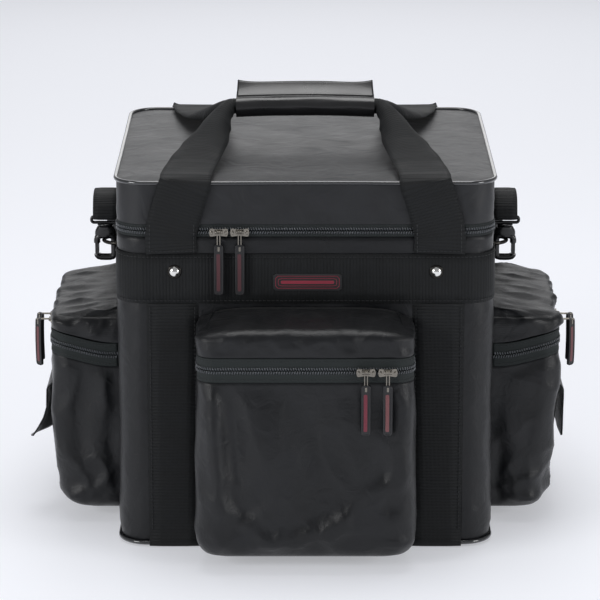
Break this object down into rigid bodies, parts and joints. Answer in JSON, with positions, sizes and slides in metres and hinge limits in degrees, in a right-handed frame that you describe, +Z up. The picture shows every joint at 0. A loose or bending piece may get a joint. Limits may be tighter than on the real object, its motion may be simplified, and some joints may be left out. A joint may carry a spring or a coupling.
{
  "type": "record bag",
  "caption": "Soft padded box bag for twelve-inch records, with a zipped lid, bellows pockets, webbing carry handles and a clip-on shoulder strap.",
  "frame": {"origin": "on the floor under the middle of the box body", "axes": "+X to the right of someone facing the front pocket, +Y to the back, +Z up"},
  "size_m": [0.554, 0.5226, 0.4365],
  "materials": {
    "nylon": "satin",
    "lining_cloth": "matte",
    "foam": "matte",
    "board": "matte",
    "webbing": "matte",
    "zip_tape": "matte",
    "piping": "gloss",
    "slider_metal": "satin",
    "pull_rubber": "satin",
    "chrome": "gloss",
    "leatherette": "satin",
    "hook_plastic": "satin",
    "patch_rubber": "satin"
  },
  "bodies": {
    "bag": {"wall_panel": "nylon", "wall_padding": "foam", "lining": "lining_cloth", "base_board": "board", "base_panel": "nylon", "base_piping": "piping", "waist_band": "webbing", "base_straps": "webbing", "rivets": "chrome", "label_patch": "patch_rubber", "main_zip_lower": "zip_tape", "front_pocket": "nylon", "front_zip_lower": "zip_tape", "left_pocket": "nylon", "left_zip_lower": "zip_tape", "right_pocket": "nylon", "right_zip_lower": "zip_tape", "left_patch_pocket": "nylon", "right_patch_pocket": "nylon", "ring_tabs": "webbing", "d_rings": "chrome", "left_hook": "hook_plastic", "right_hook": "hook_plastic", "shoulder_strap": "webbing", "shoulder_pad": "nylon", "lid_hinge_tape": "zip_tape"},
    "lid": {"lid_shell": "nylon", "lid_lining": "lining_cloth", "lid_piping": "piping", "main_zip_upper": "zip_tape"},
    "front_handle": {"front_handle": "webbing", "grip_wrap": "leatherette"},
    "back_handle": {"back_handle": "webbing"},
    "grip_flap": {"grip_flap": "leatherette"},
    "left_gate": {"left_gate": "hook_plastic"},
    "right_gate": {"right_gate": "hook_plastic"},
    "front_cap": {"front_pocket_cap": "nylon", "front_zip_upper": "zip_tape"},
    "left_cap": {"left_pocket_cap": "nylon", "left_zip_upper": "zip_tape"},
    "right_cap": {"right_pocket_cap": "nylon", "right_zip_upper": "zip_tape"},
    "left_flap": {"left_flap": "nylon"},
    "right_flap": {"right_flap": "nylon"},
    "main_left_slider": {"main_left_slider": "slider_metal"},
    "main_left_pull": {"main_left_pull": "pull_rubber"},
    "main_right_slider": {"main_right_slider": "slider_metal"},
    "main_right_pull": {"main_right_pull": "pull_rubber"},
    "front_pocket_left_slider": {"front_pocket_left_slider": "slider_metal"},
    "front_pocket_left_pull": {"front_pocket_left_pull": "pull_rubber"},
    "front_pocket_right_slider": {"front_pocket_right_slider": "slider_metal"},
    "front_pocket_right_pull": {"front_pocket_right_pull": "pull_rubber"},
    "left_pocket_front_slider": {"left_pocket_front_slider": "slider_metal"},
    "left_pocket_front_pull": {"left_pocket_front_pull": "pull_rubber"},
    "left_pocket_back_slider": {"left_pocket_back_slider": "slider_metal"},
    "left_pocket_back_pull": {"left_pocket_back_pull": "pull_rubber"},
    "right_pocket_front_slider": {"right_pocket_front_slider": "slider_metal"},
    "right_pocket_front_pull": {"right_pocket_front_pull": "pull_rubber"},
    "right_pocket_back_slider": {"right_pocket_back_slider": "slider_metal"},
    "right_pocket_back_pull": {"right_pocket_back_pull": "pull_rubber"}
  },
  "joints": [
    {"name": "lid_hinge", "type": "hinge", "parent": "bag", "child": "lid", "pos_m": [0, 0.1768, 0.3249], "axis": [-1, 0, 0], "range_deg": [0, 105], "deforming": ["lid_hinge_tape"]},
    {"name": "front_handle_swing", "type": "hinge", "parent": "bag", "child": "front_handle", "pos_m": [0, -0.1768, 0.3018], "axis": [1, 0, 0], "range_deg": [0, 140], "deforming": ["front_handle", "grip_wrap"]},
    {"name": "back_handle_swing", "type": "hinge", "parent": "bag", "child": "back_handle", "pos_m": [0, 0.1768, 0.3018], "axis": [-1, 0, 0], "range_deg": [0, 140], "deforming": ["back_handle"]},
    {"name": "grip_flap_peel", "type": "hinge", "parent": "front_handle", "child": "grip_flap", "pos_m": [0, -0.0072, 0.42505], "axis": [1, 0, 0], "range_deg": [0, 105], "deforming": ["grip_flap"]},
    {"name": "front_cap_lift", "type": "hinge", "parent": "bag", "child": "front_cap", "pos_m": [0, -0.175, 0.248], "axis": [-1, 0, 0], "range_deg": [0, 45]},
    {"name": "left_cap_lift", "type": "hinge", "parent": "bag", "child": "left_cap", "pos_m": [-0.185, 0, 0.226], "axis": [0, 1, 0], "range_deg": [0, 30]},
    {"name": "right_cap_lift", "type": "hinge", "parent": "bag", "child": "right_cap", "pos_m": [0.185, 0, 0.226], "axis": [0, -1, 0], "range_deg": [0, 30]},
    {"name": "left_flap_lift", "type": "hinge", "parent": "bag", "child": "left_flap", "pos_m": [-0.254, 0, 0.139], "axis": [0, 1, 0], "range_deg": [0, 60]},
    {"name": "right_flap_lift", "type": "hinge", "parent": "bag", "child": "right_flap", "pos_m": [0.254, 0, 0.139], "axis": [0, -1, 0], "range_deg": [0, 60]},
    {"name": "main_left_slide", "type": "slide", "parent": "bag", "child": "main_left_slider", "axis": [-1, 0, 0], "range_m": [0, 0.01]},
    {"name": "main_left_pull_swing", "type": "hinge", "parent": "main_left_slider", "child": "main_left_pull", "pos_m": [-0.0845, -0.182, 0.3247], "axis": [-1, 0, 0], "range_deg": [0, 170]},
    {"name": "main_right_slide", "type": "slide", "parent": "bag", "child": "main_right_slider", "axis": [1, 0, 0], "range_m": [0, 0.155]},
    {"name": "main_right_pull_swing", "type": "hinge", "parent": "main_right_slider", "child": "main_right_pull", "pos_m": [-0.064, -0.182, 0.3247], "axis": [-1, 0, 0], "range_deg": [0, 170]},
    {"name": "front_pocket_left_slide", "type": "slide", "parent": "bag", "child": "front_pocket_left_slider", "axis": [-1, 0, 0], "range_m": [0, 0.13]},
    {"name": "front_pocket_left_pull_swing", "type": "hinge", "parent": "front_pocket_left_slider", "child": "front_pocket_left_pull", "pos_m": [0.058, -0.262, 0.206], "axis": [-1, 0, 0], "range_deg": [0, 170]},
    {"name": "front_pocket_right_slide", "type": "slide", "parent": "bag", "child": "front_pocket_right_slider", "axis": [1, 0, 0], "range_m": [0, 0.004]},
    {"name": "front_pocket_right_pull_swing", "type": "hinge", "parent": "front_pocket_right_slider", "child": "front_pocket_right_pull", "pos_m": [0.079, -0.262, 0.206], "axis": [-1, 0, 0], "range_deg": [0, 170]},
    {"name": "left_pocket_front_slide", "type": "slide", "parent": "bag", "child": "left_pocket_front_slider", "axis": [0, -1, 0], "range_m": [0, 0.06]},
    {"name": "left_pocket_front_pull_swing", "type": "hinge", "parent": "left_pocket_front_slider", "child": "left_pocket_front_pull", "pos_m": [-0.264, -0.0105, 0.19], "axis": [0, 1, 0], "range_deg": [0, 100]},
    {"name": "left_pocket_back_slide", "type": "slide", "parent": "bag", "child": "left_pocket_back_slider", "axis": [0, 1, 0], "range_m": [0, 0.06]},
    {"name": "left_pocket_back_pull_swing", "type": "hinge", "parent": "left_pocket_back_slider", "child": "left_pocket_back_pull", "pos_m": [-0.264, 0.0105, 0.19], "axis": [0, 1, 0], "range_deg": [0, 100]},
    {"name": "right_pocket_front_slide", "type": "slide", "parent": "bag", "child": "right_pocket_front_slider", "axis": [0, -1, 0], "range_m": [0, 0.06]},
    {"name": "right_pocket_front_pull_swing", "type": "hinge", "parent": "right_pocket_front_slider", "child": "right_pocket_front_pull", "pos_m": [0.264, -0.0105, 0.19], "axis": [0, -1, 0], "range_deg": [0, 100]},
    {"name": "right_pocket_back_slide", "type": "slide", "parent": "bag", "child": "right_pocket_back_slider", "axis": [0, 1, 0], "range_m": [0, 0.06]},
    {"name": "right_pocket_back_pull_swing", "type": "hinge", "parent": "right_pocket_back_slider", "child": "right_pocket_back_pull", "pos_m": [0.264, 0.0105, 0.19], "axis": [0, -1, 0], "range_deg": [0, 100]},
    {"name": "left_gate_press", "type": "hinge", "parent": "bag", "child": "left_gate", "pos_m": [-0.21445, 0, 0.2588], "axis": [0, 1, 0], "range_deg": [0, 25], "stiffness_Nm_per_rad": 0.05, "springref_deg": -17.19},
    {"name": "right_gate_press", "type": "hinge", "parent": "bag", "child": "right_gate", "pos_m": [0.21445, 0, 0.2588], "axis": [0, -1, 0], "range_deg": [0, 25], "stiffness_Nm_per_rad": 0.05, "springref_deg": -17.19}
  ],
  "couplings": [
    {"joint": "front_handle_swing", "follows": "lid_hinge", "ratio": 1.3333},
    {"joint": "back_handle_swing", "follows": "lid_hinge", "ratio": 1.3333}
  ]
}
